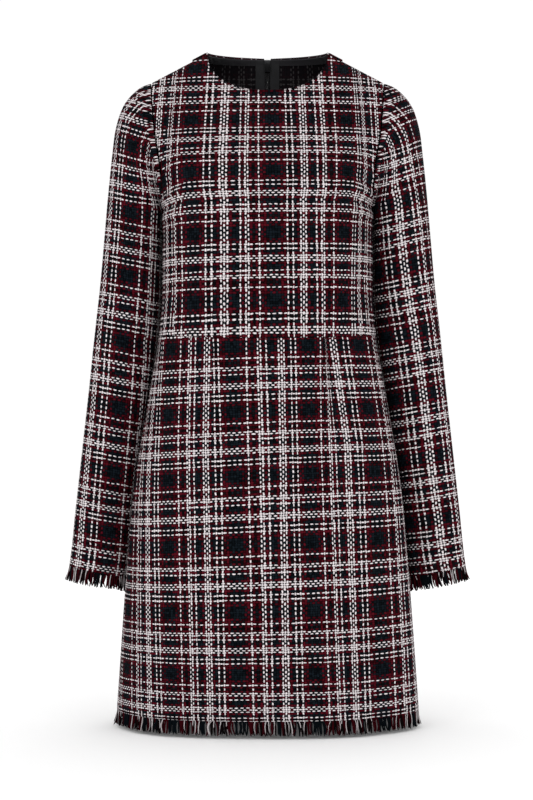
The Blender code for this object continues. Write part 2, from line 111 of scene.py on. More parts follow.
def make_weave():
    weave = bpy.data.node_groups.new("plain weave", "ShaderNodeTree")
    weave.interface.new_socket("Threads", in_out="INPUT", socket_type="NodeSocketVector")
    weave.interface.new_socket("Colour", in_out="OUTPUT", socket_type="NodeSocketColor")
    weave.interface.new_socket("Height", in_out="OUTPUT", socket_type="NodeSocketFloat")
    start = weave.nodes.new("NodeGroupInput").outputs[0]
    wander = weave.nodes.new("ShaderNodeTexNoise")
    wander.inputs["Scale"].default_value = 0.45
    wander.inputs["Detail"].default_value = 1
    weave.links.new(start, wander.inputs["Vector"])
    centred = weave.nodes.new("ShaderNodeVectorMath")
    centred.operation = "MULTIPLY_ADD"
    weave.links.new(wander.outputs["Color"], centred.inputs[0])
    centred.inputs[1].default_value = (0.7, 0.7, 0)
    centred.inputs[2].default_value = (-0.35, -0.35, 0)
    moved = weave.nodes.new("ShaderNodeVectorMath")
    moved.operation = "ADD"
    weave.links.new(start, moved.inputs[0])
    weave.links.new(centred.outputs[0], moved.inputs[1])
    parts = weave.nodes.new("ShaderNodeSeparateXYZ")
    weave.links.new(moved.outputs[0], parts.inputs[0])

    yarns = []
    for own, other, first_up in ((parts.outputs[0], parts.outputs[1], 1), (parts.outputs[1], parts.outputs[0], -1)):
        number = reckon(weave, "FLOOR", own)
        crossed = reckon(weave, "FLOOR", other)
        colour = stripe_colour(weave, number)
        cell = weave.nodes.new("ShaderNodeCombineXYZ")
        for value, socket in zip((number, reckon(weave, "FLOOR", reckon(weave, "MULTIPLY", other, 0.5)), first_up * 7.3),
                                 cell.inputs):
            if isinstance(value, float):
                socket.default_value = value
            else:
                weave.links.new(value, socket)
        luck = speckle(weave, cell.outputs[0])
        red = weave.nodes.new("ShaderNodeSeparateColor")
        weave.links.new(colour, red.inputs[0])
        is_white = reckon(weave, "GREATER_THAN", red.outputs[0], 0.5)
        half = reckon(weave, "MULTIPLY_ADD", is_white, -0.115, 0.34)
        half = reckon(weave, "MULTIPLY_ADD", luck, 0.08, half)
        off = reckon(weave, "DIVIDE", reckon(weave, "SUBTRACT", reckon(weave, "SUBTRACT", own, number), 0.5), half)
        dome = reckon(weave, "SQRT", reckon(weave, "MAXIMUM", reckon(weave, "SUBTRACT", 1, reckon(weave, "MULTIPLY", off, off)), 0))
        wave = reckon(weave, "COSINE", reckon(weave, "MULTIPLY", reckon(weave, "SUBTRACT", other, 0.5), pi))
        sign = reckon(weave, "MULTIPLY_ADD", reckon(weave, "FLOORED_MODULO", number, 2), -2 * first_up, first_up)
        lift = reckon(weave, "MULTIPLY", wave, sign)
        twist = reckon(weave, "SINE", reckon(weave, "ADD", reckon(weave, "MULTIPLY", other, 13), reckon(weave, "MULTIPLY", off, 2)))
        there = reckon(weave, "GREATER_THAN", dome, 0.02)
        height = reckon(weave, "MULTIPLY", reckon(weave, "ADD", reckon(weave, "MULTIPLY_ADD", lift, 0.3, 0.45),
                        reckon(weave, "MULTIPLY", dome, reckon(weave, "MULTIPLY_ADD", twist, 0.03, 0.35))), there)
        dark_shade = reckon(weave, "MULTIPLY_ADD", luck, 1.3, 0.4)
        white_shade = reckon(weave, "MULTIPLY_ADD", luck, 0.12, 0.9)
        shade = weave.nodes.new("ShaderNodeMix")
        for socket, value in zip((0, 2, 3), (is_white, dark_shade, white_shade)):
            weave.links.new(value, shade.inputs[socket])
        # Painted shade: each yarn is darkened where it dives under the crossing yarn, towards the sides of its round
        # and along the grooves of its twist.
        depth = reckon(weave, "MAXIMUM", reckon(weave, "MULTIPLY_ADD", lift, 0.5, 0.62), 0.2)
        depth = reckon(weave, "MINIMUM", depth, 1.03)
        depth = reckon(weave, "MULTIPLY", depth, reckon(weave, "MULTIPLY_ADD", dome, 0.32, 0.68))
        depth = reckon(weave, "MULTIPLY", depth, reckon(weave, "MULTIPLY_ADD", twist, 0.05, 1))
        grey = weave.nodes.new("ShaderNodeCombineColor")
        for socket in grey.inputs[:3]:
            weave.links.new(reckon(weave, "MULTIPLY", shade.outputs[0], depth), socket)
        yarns.append((blend_colours(weave, 1.0, colour, grey.outputs[0], "MULTIPLY"), height))
    weft_over = reckon(weave, "GREATER_THAN", yarns[1][1], yarns[0][1])
    top = blend_colours(weave, weft_over, yarns[0][0], yarns[1][0])
    height = reckon(weave, "MAXIMUM", yarns[0][1], yarns[1][1])
    # Painted shade: where no yarn covers, the gaps between the yarns are coloured near-black.
    covered = reckon(weave, "GREATER_THAN", height, 0.02)
    finish = weave.nodes.new("NodeGroupOutput")
    weave.links.new(blend_colours(weave, covered, (0.0015, 0.0012, 0.0014), top), finish.inputs[0])
    weave.links.new(height, finish.inputs[1])
    return weave


WEAVE = make_weave()


def cloth_finish(name, light, relief):
    """A material of the woven tweed. light thins its colours towards near-black."""
    made = bpy.data.materials.new(name)
    made.use_nodes = True
    tree = made.node_tree
    shader = tree.nodes["Principled BSDF"]
    shader.inputs["Roughness"].default_value = 0.92
    shader.inputs["Specular IOR Level"].default_value = 0.02
    cut = tree.nodes.new("ShaderNodeUVMap")
    cut.uv_map = "cut"
    woven = tree.nodes.new("ShaderNodeGroup")
    woven.node_tree = WEAVE
    tree.links.new(cut.outputs[0], woven.inputs[0])
    colour = woven.outputs[0]
    if light < 1:
        colour = blend_colours(tree, light, (0.0095, 0.0078, 0.0095), colour)
    tree.links.new(colour, shader.inputs["Base Color"])
    bump = tree.nodes.new("ShaderNodeBump")
    bump.inputs["Distance"].default_value = relief
    tree.links.new(woven.outputs[1], bump.inputs["Height"])
    tree.links.new(bump.outputs[0], shader.inputs["Normal"])
    return made


TWEED = cloth_finish("tweed", 1, 0.0008)
# The wrong side of every panel: the weave blended most of the way to near-black, with 6% of its colours left.
NEAR_BLACK_WRONG_SIDE = cloth_finish("near-black wrong side", 0.06, 0.0003)


# The front bodice. One panel of tweed, shaped over the chest by a dart each side of the waist, and
# cut with a round neck, shoulder seams and armholes. Its turned neck edge is clean, with no binding.

CLOTH = 0.002
SEAM_GAP = 0.0003
NECK_HALF, NECK_DROP, NECK_SQUARENESS, NECK_TURN = 0.0797, 0.058, 2.3, 45.0
SHOULDER_X, SHOULDER_Z = 0.155, -0.040
SHOULDER_FALL = SHOULDER_Z / (SHOULDER_X - NECK_HALF)
RIDGE = 0.045
UNDERARM_X, UNDERARM_Z = 0.140, -0.205
WAIST_AT_SIDE, WAIST_DIP = -0.378, 0.0065
HEM = -0.875
ROUNDNESS = 2.25
# height; half width, front, back and side of the body there
BODY = np.array((
    (-0.900, 0.2020, -0.1345, 0.1325, 0.000), (-0.848, 0.1985, -0.1335, 0.1310, 0.000),
    (-0.736, 0.1910, -0.1315, 0.1260, 0.000), (-0.653, 0.1845, -0.1300, 0.1230, 0.000),
    (-0.593, 0.1790, -0.1290, 0.1200, 0.000), (-0.551, 0.1735, -0.1280, 0.1165, 0.000),
    (-0.504, 0.1655, -0.1255, 0.1100, 0.000), (-0.437, 0.1540, -0.1215, 0.0970, 0.000),
    (-0.382, 0.1450, -0.1190, 0.0890, 0.000), (-0.330, 0.1405, -0.1300, 0.0965, 0.000),
    (-0.270, 0.1398, -0.1350, 0.1060, 0.000), (-0.220, 0.1399, -0.1305, 0.1110, 0.000),
    (-0.180, 0.1440, -0.1200, 0.1120, 0.002), (-0.142, 0.1545, -0.1035, 0.1100, 0.005),
    (-0.100, 0.1680, -0.0770, 0.1040, 0.008), (-0.058, 0.1840, -0.0470, 0.0930, 0.011),
    (-0.020, 0.1980, -0.0215, 0.0770, 0.013), (0.005, 0.2050, -0.0050, 0.0640, 0.014),
))
HALF_WIDTH, FRONT_Y, BACK_Y, SIDE_Y = 1, 2, 3, 4
ARMHOLE = np.array(((-0.205, 0.1400), (-0.189, 0.1390), (-0.157, 0.1410), (-0.119, 0.1475),
                    (-0.087, 0.1510), (-0.040, 0.1550)))
# angle round the body, width, and how far out at the hem
SKIRT_FOLDS = ((-158, 13, 0.0030), (-131, 12, -0.0025), (-104, 12, 0.0020), (-66, 13, -0.0022),
               (-38, 12, 0.0024), (-9, 14, -0.0012), (24, 12, 0.0018), (52, 12, -0.0024),
               (78, 11, 0.0018), (112, 13, -0.0026), (143, 13, 0.0030))


def smooth(table, column, at):
    places, values = table[:, 0], table[:, column]
    slopes = np.gradient(values, places)
    i = np.clip(np.searchsorted(places, at) - 1, 0, len(places) - 2)
    step = places[i + 1] - places[i]
    t = (at - places[i]) / step
    start = (1 + 2 * t) * (1 - t) ** 2 * values[i] + t * (1 - t) ** 2 * step * slopes[i]
    return start + t**2 * (3 - 2 * t) * values[i + 1] - t**2 * (1 - t) * step * slopes[i + 1]


def mix(a, b, share):
    return a + (b - a) * share


def unit(vectors):
    return vectors / np.maximum(np.linalg.norm(vectors, axis=-1, keepdims=True), 1e-12)


def top_edge(turn, face):
    round_neck = np.radians(90 * np.minimum(turn / NECK_TURN, 1))
    power = np.where(face < 0, 2 / NECK_SQUARENESS, 1)
    drop = np.where(face < 0, NECK_DROP, 0)
    shoulder_x = mix(NECK_HALF, SHOULDER_X, (turn - NECK_TURN) / (90 - NECK_TURN))
    on_neck = turn <= NECK_TURN
    x = np.where(on_neck, NECK_HALF * np.sin(round_neck) ** power, shoulder_x)
    neck_z = -drop * np.abs(np.cos(round_neck)) ** power
    return x, np.where(on_neck, neck_z, SHOULDER_FALL * (shoulder_x - NECK_HALF))


def skirt_fold(angle, level):
    out = sum(out * np.exp(-(((angle - place) / width) ** 2)) for place, width, out in SKIRT_FOLDS)
    return out * np.clip(-level, 0, 1.1) ** 1.5


def depth_at(x, z, face):
    side = smooth(BODY, SIDE_Y, z)
    centre = np.where(face < 0, smooth(BODY, FRONT_Y, z), smooth(BODY, BACK_Y, z))
    across = np.clip(x / smooth(BODY, HALF_WIDTH, z), 0, 1)
    rounding = np.clip(1 - (SHOULDER_FALL * (x - NECK_HALF) - z) / RIDGE, 0, 1)
    full = (1 - across**ROUNDNESS) ** (1 / ROUNDNESS)
    return side + (centre - side) * full * np.sqrt(1 - rounding**2)


def body_skin(angle, level, face):
    """A point of the body's outer face: 0 degrees is the front's centre and 90 the wearer's
    left side; level -1 is the hem, 0 the waist seam, 1 the underarm, 2 the neck or shoulder."""
    angle, level = np.broadcast_arrays(np.asarray(angle, float), np.asarray(level, float))
    turn = np.abs(angle) if face < 0 else 180 - np.abs(angle)
    hand = np.where(angle < 0, -1.0, 1.0) * np.where(turn < 0, -1.0, 1.0)
    turn = np.clip(np.abs(turn), 0, 90)
    face = np.full(turn.shape, float(face))
    level = np.minimum(level, 2)
    across = np.sin(np.radians(turn)) ** (2 / ROUNDNESS)
    waist = WAIST_AT_SIDE - WAIST_DIP * np.cos(np.radians(turn)) ** 2
    low_z = np.where(level < 0, mix(waist, HEM, -level), mix(waist, UNDERARM_Z, level))
    low_x = smooth(BODY, HALF_WIDTH, low_z) * across
    climb = (1 - np.cos(pi * (np.clip(level, 1, 2) - 1))) / 2
    top_x, top_z = top_edge(turn, face)
    high_z = mix(UNDERARM_Z, top_z, climb)
    edge_x = smooth(ARMHOLE, 1, mix(UNDERARM_Z, SHOULDER_Z, climb))
    bend = (turn / 90) ** 4 * (edge_x - mix(UNDERARM_X, SHOULDER_X, climb))
    high_x = mix(UNDERARM_X * across, top_x, climb) + bend
    x, z = np.where(level > 1, high_x, low_x), np.where(level > 1, high_z, low_z)
    point = np.stack([hand * x, depth_at(x, z, face), z], axis=-1)
    outward = unit(point * (1, 1, 0))
    return point + outward * skirt_fold(angle, level)[..., None]


def grid_normals(points, closed=False):
    if closed:
        across = (np.roll(points, -1, axis=1) - np.roll(points, 1, axis=1)) / 2
    else:
        across = np.gradient(points, axis=1)
    return unit(np.cross(across, np.gradient(points, axis=0)))


def run_lengths(points, axis):
    steps = np.linalg.norm(np.diff(points, axis=axis), axis=-1)
    start = np.zeros_like(np.take(steps, [0], axis=axis))
    return np.concatenate([start, np.cumsum(steps, axis=axis)], axis=axis)


def sew_wall(name, points, normals, threads, finishes, thickness=CLOTH, closed=False, roll=0.0004):
    """A sheet of cloth from a grid of its outer face. Its seamed edges turn in a little, and a
    rounded edge joins the right side to the wrong side."""
    rows, columns = points.shape[:2]
    up, across = run_lengths(points, 0), run_lengths(points, 1)
    near = np.minimum(up, up[-1:] - up)
    if not closed:
        near = np.minimum(near, np.minimum(across, across[:, -1:] - across))
    points = points - normals * (roll * np.exp(-near / 0.0022))[..., None]
    inner = points - normals * thickness
    index = np.arange(rows * columns).reshape(rows, columns)
    if closed:
        loops = [np.append(index[0][::-1], index[0, -1]), np.append(index[-1], index[-1, 0])]
        outs = [unit(points[0] - points[1])[::-1], unit(points[-1] - points[-2])]
    else:
        loops = [np.concatenate([index[0, ::-1], index[1:, 0], index[-1, 1:], index[-2::-1, -1]])]
        outs = [np.concatenate([unit(points[0] - points[1])[::-1], unit(points[:, 0] - points[:, 1])[1:],
                                unit(points[-1] - points[-2])[1:], unit(points[:, -1] - points[:, -2])[-2::-1]])]
    vertices = [points.reshape(-1, 3), inner.reshape(-1, 3)]
    place = [threads[:, :columns].reshape(-1, 2)] * 2
    count = 2 * rows * columns
    spans = columns if closed else columns - 1
    r, c = np.meshgrid(np.arange(rows - 1), np.arange(spans), indexing="ij")
    after = (c + 1) % columns
    square = np.stack([index[r, c], index[r, after], index[r + 1, after], index[r + 1, c]], axis=-1).reshape(-1, 4)
    faces = [square, square[:, ::-1] + rows * columns]
    wrong_side = [np.zeros(len(square), int), np.ones(len(square), int)]
    corner_place = [np.stack([threads[r, c], threads[r, c + 1], threads[r + 1, c + 1], threads[r + 1, c]],
                             axis=2).reshape(-1, 4, 2)]
    corner_place.append(corner_place[0][:, ::-1])
    for loop, out in zip(loops, outs):
        around = loop[:-1]
        out = out[: len(around)]
        normal = (vertices[0][around] - vertices[1][around]) / thickness
        rings = [around]
        for step in (1, 2, 3):
            turn = pi * step / 4
            ring = (vertices[0][around] - normal * thickness * (1 - cos(turn)) / 2
                    + out * sin(turn) * thickness * 0.12)
            vertices.append(ring)
            rings.append(np.arange(len(ring)) + count)
            count += len(ring)
        rings.append(around + rows * columns)
        flat_threads = threads[:, :columns].reshape(-1, 2)[around]
        for step, (first, second) in enumerate(zip(rings, rings[1:])):
            faces.append(np.stack([first, np.roll(first, -1), np.roll(second, -1), second], axis=-1))
            nearby = np.stack([flat_threads, np.roll(flat_threads, -1, axis=0)] * 2, axis=1)
            nearby = nearby[:, [0, 1, 1, 0]]
            if closed:
                nearby[-1] = nearby[-2]
            corner_place.append(nearby)
            wrong_side.append(np.full(len(around), int(step > 2)))
    mesh = bpy.data.meshes.new(name)
    mesh.from_pydata(np.concatenate(vertices).tolist(), [], np.concatenate(faces).tolist())
    mesh.polygons.foreach_set("material_index", np.concatenate(wrong_side))
    cut = mesh.uv_layers.new(name="cut")
    cut.data.foreach_set("uv", np.concatenate(corner_place).reshape(-1).astype(np.float32))
    for finish in finishes:
        mesh.materials.append(finish)
    mesh.shade_smooth()
    mesh.update()
    made = bpy.data.objects.new(name, mesh)
    bpy.context.collection.objects.link(made)
    return made


def draw_back(points, gap=SEAM_GAP / 2 + CLOTH * 0.12):
    """Moves a panel's edges in from its seam lines, which leaves room for the rounded edge."""
    for run, beside in (((0,), (1,)), ((-1,), (-2,)), ((slice(None), 0), (slice(None), 1)),
                        ((slice(None), -1), (slice(None), -2))):
        points[run] += unit(points[beside] - points[run]) * gap
    return points


def spread(edges, counts):
    """Even steps between the edges, with more of them close to each edge."""
    runs = []
    for low, high, count in zip(edges, edges[1:], counts):
        runs.append(mix(low, high, np.linspace(0, 1, count + 1))[:-1])
    return np.append(np.concatenate(runs), edges[-1])


FRONT_ANGLES = spread((-90, -88.6, 88.6, 90), (3, 128, 3))
BODICE_LEVELS = spread((0, 0.012, 0.03, 1, 1.97, 1.99, 2), (3, 2, 48, 58, 2, 3))


def thread_at(value, lines, places):
    """The thread number at a value that lies between lines, each a field of its own place."""
    number = np.empty(value.shape)
    flat, out = value.reshape(-1), number.reshape(-1)
    fields = [np.broadcast_to(place, value.shape).reshape(-1) for place in places]
    ends = [(lines[1] - lines[0]) / (fields[1] - fields[0]), (lines[-1] - lines[-2]) / (fields[-1] - fields[-2])]
    out[:] = lines[0] + (flat - fields[0]) * ends[0]
    for k in range(len(lines) - 1):
        share = (flat - fields[k]) / (fields[k + 1] - fields[k])
        inside = (share >= 0) if k == len(lines) - 2 else (share >= 0) & (share < 1)
        out[inside] = mix(lines[k], lines[k + 1], share[inside])
    past = flat > fields[-1]
    out[past] = lines[-1] + ((flat - fields[-1]) * ends[1])[past]
    return number


def from_centre(points):
    across = run_lengths(points * (1, 1, 0), 1)
    middle = points.shape[1] // 2
    return across - across[:, middle:middle + 1]


def up_the_chest(points, across):
    """Above the underarm the warps run straight up, drawing in slightly to the shoulder."""
    base = np.argmin(np.abs(points[:, 0, 2] - UNDERARM_Z))
    inside = np.abs(points[base, :, 0]) < 0.13
    for row in range(base + 1, len(points)):
        x, z = points[row, :, 0], points[row, :, 2]
        x = x * (0.965 + 0.065 * np.clip((z + 0.14) / 0.12, 0, 1))
        straight = np.interp(x, points[base, inside, 0], across[base, inside])
        straight += np.sign(x) * np.maximum(np.abs(x) - 0.13, 0) * 1.2
        share = min((row - base) / 12, 1)
        across[row] = mix(across[row], straight, share)
    return across


# warp thread, its way from the centre line at the waist and at the chest
BODICE_WARPS = ((-46, -0.186, -0.190), (-28, -0.1235, -0.1290), (-18, -0.0838, -0.0850), (-12, -0.0582, -0.0588),
                (-7, -0.0365, -0.0366), (0.5, -0.0095, -0.0115), (10.5, 0.0272, 0.0240), (12.5, 0.0342, 0.0310),
                (16.5, 0.0468, 0.0462), (21.5, 0.0655, 0.0630), (28.5, 0.0880, 0.0905), (38.5, 0.1190, 0.1275),
                (44.5, 0.1360, 0.1430), (62.5, 0.196, 0.205))
# weft thread; its height on the centre line, its slope and its sag across the front
BODICE_WEFTS = ((103.6, -0.3853, 0.015, -0.06), (94.5, -0.3531, 0.017, -0.05), (84.5, -0.3197, 0.015, -0.013),
                (72.5, -0.2830, 0.018, 0.05), (56.5, -0.2343, 0.0114, 0.08), (44.5, -0.1987, 0.012, 0.1),
                (28.5, -0.1547, 0.006, 0.09), (16.5, -0.1245, 0.007, 0.05), (0.5, -0.0859, 0.003, 0.0),
                (-7, -0.0648, 0.0, 0.0), (-28, -0.0098, 0, 0))


def front_bodice_threads(points):
    x, z = points[..., 0], points[..., 2]
    rise = (z + 0.36) / 0.24
    across = up_the_chest(points, from_centre(points))
    warp = thread_at(across, [w[0] for w in BODICE_WARPS], [mix(w[1], w[2], rise) for w in BODICE_WARPS])
    dip = 0.011 * (np.clip(np.abs(x) - 0.100, 0, 0.05) / 0.038) ** 2 * np.exp(-(((z + 0.185) / 0.038) ** 2))
    weft = thread_at(z + dip, [w[0] for w in BODICE_WEFTS], [w[1] + w[2] * x + w[3] * x * x for w in BODICE_WEFTS])
    return np.stack([warp, weft], axis=-1)


# middle x and z of each crease, which way it runs, half its length and width, and how far it stands
FRONT_CREASES = (
    (-0.126, -0.196, 28, 0.026, 0.0050, 0.0024), (-0.122, -0.207, 20, 0.022, 0.0045, -0.0026),
    (-0.118, -0.221, 12, 0.024, 0.0055, 0.0018), (-0.132, -0.170, 48, 0.018, 0.0050, 0.0016),
    (-0.112, -0.180, 34, 0.022, 0.0060, -0.0014), (0.128, -0.190, 150, 0.024, 0.0050, 0.0026),
    (0.122, -0.203, 158, 0.024, 0.0046, -0.0024), (0.124, -0.218, 168, 0.020, 0.0050, 0.0020),
    (0.134, -0.165, 130, 0.018, 0.0052, 0.0016), (0.114, -0.172, 142, 0.022, 0.0060, -0.0012),
    (-0.075, -0.300, 96, 0.050, 0.0120, 0.0012), (0.082, -0.305, 84, 0.050, 0.0120, 0.0013),
    (-0.120, -0.330, 100, 0.040, 0.0090, -0.0012), (0.122, -0.322, 80, 0.040, 0.0090, -0.0012),
)
BACK_CREASES = (
    (-0.124, -0.200, 30, 0.024, 0.0055, 0.0022), (0.120, -0.196, 152, 0.026, 0.0050, 0.0024),
    (-0.116, -0.216, 18, 0.022, 0.0050, -0.0020), (0.114, -0.212, 164, 0.022, 0.0050, -0.0022),
    (-0.085, -0.335, 98, 0.045, 0.0110, 0.0014), (0.078, -0.328, 82, 0.045, 0.0120, 0.0013),
    (-0.045, -0.110, 70, 0.040, 0.0140, -0.0010), (0.050, -0.116, 112, 0.040, 0.0140, -0.0010),
)


def crease(points, normals, lines):
    """Lifts or sinks the cloth along each line."""
    out = np.zeros(points.shape[:-1])
    for x, z, way, length, width, height in lines:
        along = np.array((cos(radians(way)), sin(radians(way))))
        apart = points[..., 0] - x, points[..., 2] - z
        run = apart[0] * along[0] + apart[1] * along[1]
        off = apart[1] * along[0] - apart[0] * along[1]
        out += height * np.exp(-((off / width) ** 2) - (run / length) ** 2)
    return points + normals * out[..., None]


def body_panel(name, angles, levels, face, threads):
    angle, level = np.meshgrid(angles, levels)
    points = body_skin(angle, level, face)
    place = threads(points)
    points = draw_back(points)
    points = crease(points, grid_normals(points), FRONT_CREASES if face < 0 else BACK_CREASES)
    if face > 0:
        opened = np.clip((points[..., 2] + 0.011) / 0.010, 0, 1) ** 1.5 * np.exp(-((points[..., 0] / 0.008) ** 2))
        points[..., 0] += 0.0042 * opened * np.sign(points[..., 0].mean())
    return sew_wall(name, points, grid_normals(points), place, (TWEED, NEAR_BLACK_WRONG_SIDE))


front_bodice = body_panel("bodice_front", FRONT_ANGLES, BODICE_LEVELS, -1, front_bodice_threads)
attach(front_bodice, "dress")
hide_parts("front_bodice")


# The back bodice. Two halves that the zip closes, joined to the front at the shoulders and sides.

BACK_ANGLES = {"left": spread((90, 91.4, 178.8, 180), (3, 62, 3)), "right": spread((-180, -178.8, -91.4, -90), (3, 62, 3))}


def back_threads(hand, phase, weft_at):
    def threads(points):
        run = run_lengths(points * (1, 1, 0), 1)
        from_zip = run - run[:, -1:] if hand > 0 else run
        return np.stack([from_zip / 0.0034 + phase, np.interp(-points[..., 2], *weft_at)], axis=-1)
    return threads


BACK_WEFT = (0, 0.09, 0.40), (-25.5, 3, 104)
for side, hand in (("left", 1), ("right", -1)):
    half = body_panel(f"bodice_back_{side}", BACK_ANGLES[side], BODICE_LEVELS, 1, back_threads(hand, 6, BACK_WEFT))
    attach(half, "dress")
    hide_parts(f"back_bodice_{side}")


# The skirt. A front panel with two waist darts and two back panels, cut with the cloth turned
# end for end, sewn to the bodice at the waist and hanging free to a raw hem.

SKIRT_LEVELS = spread((-1, -0.99, -0.02, -0.006, 0), (2, 120, 2, 3))


# warp thread, its way from the centre line at the waist, at the darts' ends and at the hem
SKIRT_WARPS = ((56, -0.205, -0.212, -0.196), (44.5, -0.180, -0.1765, -0.160), (38.5, -0.1620, -0.1545, -0.1400),
               (28.5, -0.1209, -0.1201, -0.1095), (21.5, -0.0965, -0.0970, -0.0895), (16.5, -0.0797, -0.0805, -0.0735),
               (14.6, -0.0730, -0.0747, -0.0678), (13, -0.0722, -0.0699, -0.0630), (10.5, -0.0648, -0.0600, -0.0545),
               (0.5, -0.0273, -0.0249, -0.0178), (-6.5, -0.0022, 0.0014, 0.0070), (-11.5, 0.0180, 0.0200, 0.0240),
               (-17.5, 0.0358, 0.0382, 0.0460), (-27.5, 0.0692, 0.0698, 0.0796), (-30.6, 0.0764, 0.0780, 0.0885),
               (-37, 0.0768, 0.0966, 0.1080), (-39.5, 0.0874, 0.1060, 0.1160), (-45.5, 0.1104, 0.1290, 0.1370),
               (-55.5, 0.1504, 0.1690, 0.181), (-60, 0.170, 0.1885, 0.201))
# weft thread; its height on the centre line, its slope and its sag across the front
SKIRT_WEFTS = ((-170, -0.9050, 0.004, 0.03), (-157.5, -0.8745, 0.008, 0.03), (-155.5, -0.8702, 0.010, 0.03), (-139.5, -0.8286, 0.0114, 0.0308), (-111.5, -0.7501, 0.0242, -0.0071),
               (-83.5, -0.6632, 0.0395, -0.078), (-55.5, -0.5745, 0.0471, -0.1453), (-27.5, -0.4924, 0.035, -0.1273),
               (0.5, -0.4094, 0.0264, -0.076), (8.6, -0.3853, 0.02, -0.05))


def front_skirt_threads(points):
    x, z = points[..., 0], points[..., 2]
    low, high = np.clip((-0.52 - z) / 0.34, 0, 1.1), np.clip((z + 0.52) / 0.13, 0, 1.1)
    places = [middle + (hem - middle) * low + (waist - middle) * high for _, waist, middle, hem in SKIRT_WARPS]
    warp = thread_at(from_centre(points), [w[0] for w in SKIRT_WARPS], places)
    weft = thread_at(z, [w[0] for w in SKIRT_WEFTS], [w[1] + w[2] * x + w[3] * x * x for w in SKIRT_WEFTS])
    return np.stack([warp, weft], axis=-1)


front_skirt = body_panel("skirt_front", FRONT_ANGLES, SKIRT_LEVELS, -1, front_skirt_threads)
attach(front_skirt, "dress")
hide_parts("front_skirt")
SKIRT_WEFT = (0.38, 0.9), (-8.5, 161)
for side, hand in (("left", 1), ("right", -1)):
    half = body_panel(f"skirt_back_{side}", BACK_ANGLES[side], SKIRT_LEVELS, 1, back_threads(hand, 6, SKIRT_WEFT))
    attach(half, "dress")
    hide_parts(f"back_skirt_{side}")


# The sleeves. Each is one piece, set into the armhole, with its seam under the arm and a raw cuff.

# station; outer end's x and z, inner end's x and z, depth to the front and to the back, middle's y
SLEEVE = np.array((
    (0.000, 0.1550, -0.0400, 0.1400, -0.2050, 0.050, 0.055, 0.006), (0.030, 0.1690, -0.0455, 0.1435, -0.2085, 0.054, 0.059, 0.010),
    (0.070, 0.1850, -0.0590, 0.1400, -0.2130, 0.057, 0.062, 0.014), (0.120, 0.1965, -0.0780, 0.1360, -0.2190, 0.059, 0.063, 0.018),
    (0.170, 0.2035, -0.1000, 0.1340, -0.2270, 0.059, 0.063, 0.021), (0.240, 0.2085, -0.1350, 0.1340, -0.2430, 0.058, 0.062, 0.024),
    (0.330, 0.2145, -0.1900, 0.1350, -0.2680, 0.056, 0.060, 0.028), (0.420, 0.2195, -0.2450, 0.1360, -0.3000, 0.054, 0.058, 0.031),
    (0.520, 0.2255, -0.3100, 0.1380, -0.3450, 0.051, 0.055, 0.034), (0.620, 0.2335, -0.3800, 0.1425, -0.4020, 0.048, 0.051, 0.036),
    (0.720, 0.2410, -0.4500, 0.1520, -0.4660, 0.044, 0.046, 0.038), (0.820, 0.2500, -0.5300, 0.1655, -0.5440, 0.040, 0.041, 0.039),
    (0.910, 0.2590, -0.6100, 0.1770, -0.6240, 0.036, 0.036, 0.040), (1.000, 0.2680, -0.6880, 0.1860, -0.7025, 0.034, 0.034, 0.040),
    (1.025, 0.2720, -0.7070, 0.1890, -0.7200, 0.035, 0.035, 0.040),
))
SLEEVE_CLEAR, CAP_FADE = 0.003, 0.15


def sleeve_skin(turn, station):
    """A point of the left sleeve's outer face: 0 is its outer side, 90 its front, 180 its inner."""
    turn, station = np.broadcast_arrays(np.asarray(turn, float) % 360, np.asarray(station, float))

    def ring(at):
        outer_x, outer_z, inner_x, inner_z = (smooth(SLEEVE, column, at) for column in (1, 2, 3, 4))
        lean = (1 + np.cos(np.radians(turn))) / 2
        depth = np.where(turn < 180, smooth(SLEEVE, 5, at), smooth(SLEEVE, 6, at))
        y = smooth(SLEEVE, 7, at) - depth * np.sin(np.radians(turn))
        return np.stack([mix(inner_x, outer_x, lean), y, mix(inner_z, outer_z, lean)], axis=-1)

    armhole = np.where((turn <= 180)[..., None], body_skin(90, 2 - turn / 180, -1), body_skin(90, turn / 180, 1))
    fade = np.clip(1 - station / CAP_FADE, 0, 1) ** 2
    point = ring(station) + (armhole - ring(np.zeros(station.shape))) * fade[..., None]
    x, y, z = np.moveaxis(point, -1, 0)
    below = np.clip((UNDERARM_Z - z) / 0.02, 0, 1)
    clear = SLEEVE_CLEAR * below
    side, width = smooth(BODY, SIDE_Y, z), smooth(BODY, HALF_WIDTH, z)
    reach = np.where(y < side, side - smooth(BODY, FRONT_Y, z), smooth(BODY, BACK_Y, z) - side)
    across = np.clip(np.abs(y - side) / reach, 0, 1)
    wall = width * (1 - across**ROUNDNESS) ** (1 / ROUNDNESS) + clear
    pushed = (x + wall + np.sqrt((x - wall) ** 2 + clear**2)) / 2
    return np.stack([np.where(below > 0, pushed, x), y, z], axis=-1)


ARM_COLUMNS = 120
STATIONS = spread((0, 0.012, 0.992, 1), (3, 190, 2))
# warp thread, and how far it lies from the thread that marks the grain, towards the inner side
SLEEVE_WARPS = {
    "left": ((66.5, -0.187), (38.5, -0.091), (28.5, -0.052), (24, -0.034), (21.5, -0.022), (16.5, 0.0), (12.5, 0.018),
             (10.5, 0.026), (5.5, 0.043), (0.5, 0.060), (-11.5, 0.102), (-27.5, 0.156)),
    "right": ((66.5, -0.222), (28.5, -0.086), (21.5, -0.060), (16.5, -0.0415), (12.5, -0.0248), (10.5, -0.0172),
              (5.5, 0.0), (0.5, 0.0165), (-4, 0.0325), (-11.5, 0.057), (-27.5, 0.110)),
}
